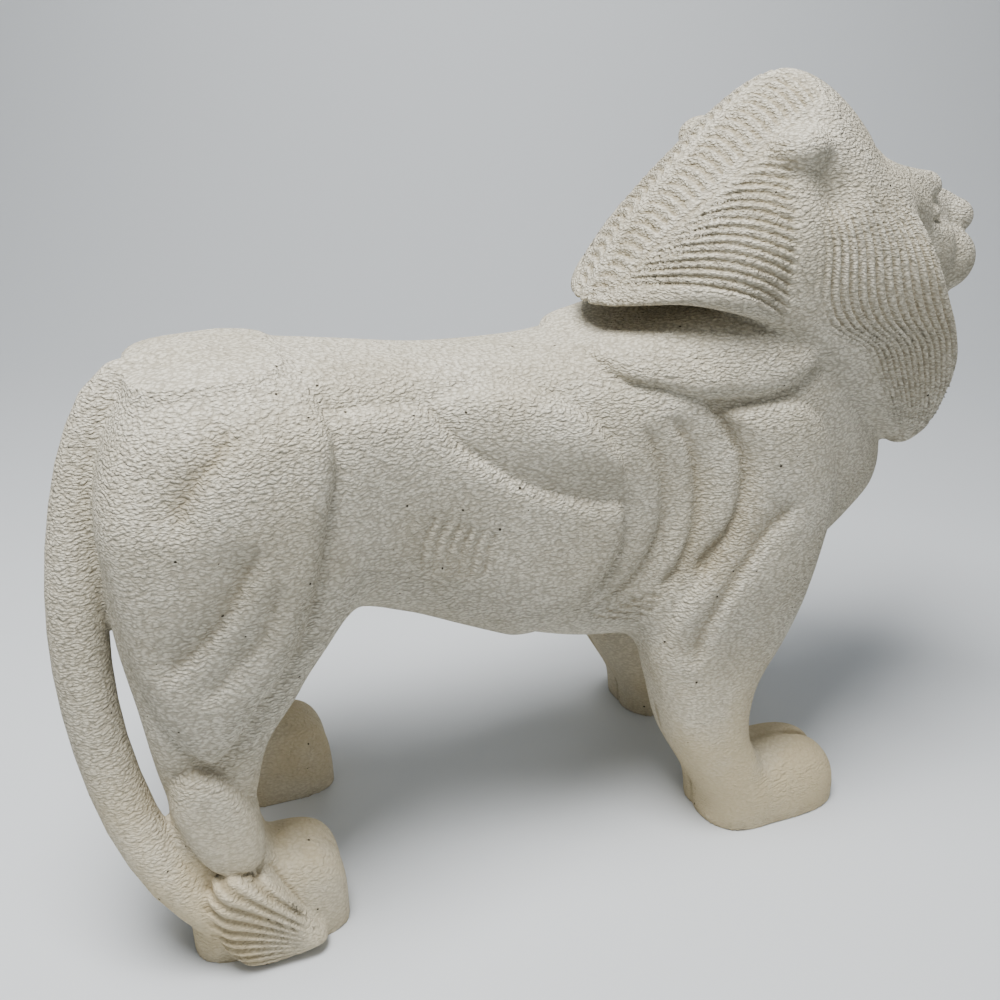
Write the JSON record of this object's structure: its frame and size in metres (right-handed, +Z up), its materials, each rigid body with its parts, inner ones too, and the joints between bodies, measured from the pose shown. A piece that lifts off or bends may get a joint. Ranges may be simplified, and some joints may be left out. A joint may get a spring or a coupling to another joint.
{
  "type": "lion statue",
  "caption": "Standing lion in cast stone with a ribbed mane, fluted beard and a tail curling to a tuft beside the right hind paw.",
  "frame": {"origin": "middle of the footprint box on the ground, where the four soles stand", "axes": "+X towards the lion's face, +Y to the lion's left, +Z up"},
  "size_m": [0.4398, 0.1538, 0.349],
  "materials": {
    "cast_stone": "cream cast stone with a sandy, pitted face, warmer tan on the paws and the tuft"
  },
  "bodies": {
    "root": {"lion": "cast_stone"}
  },
  "joints": []
}
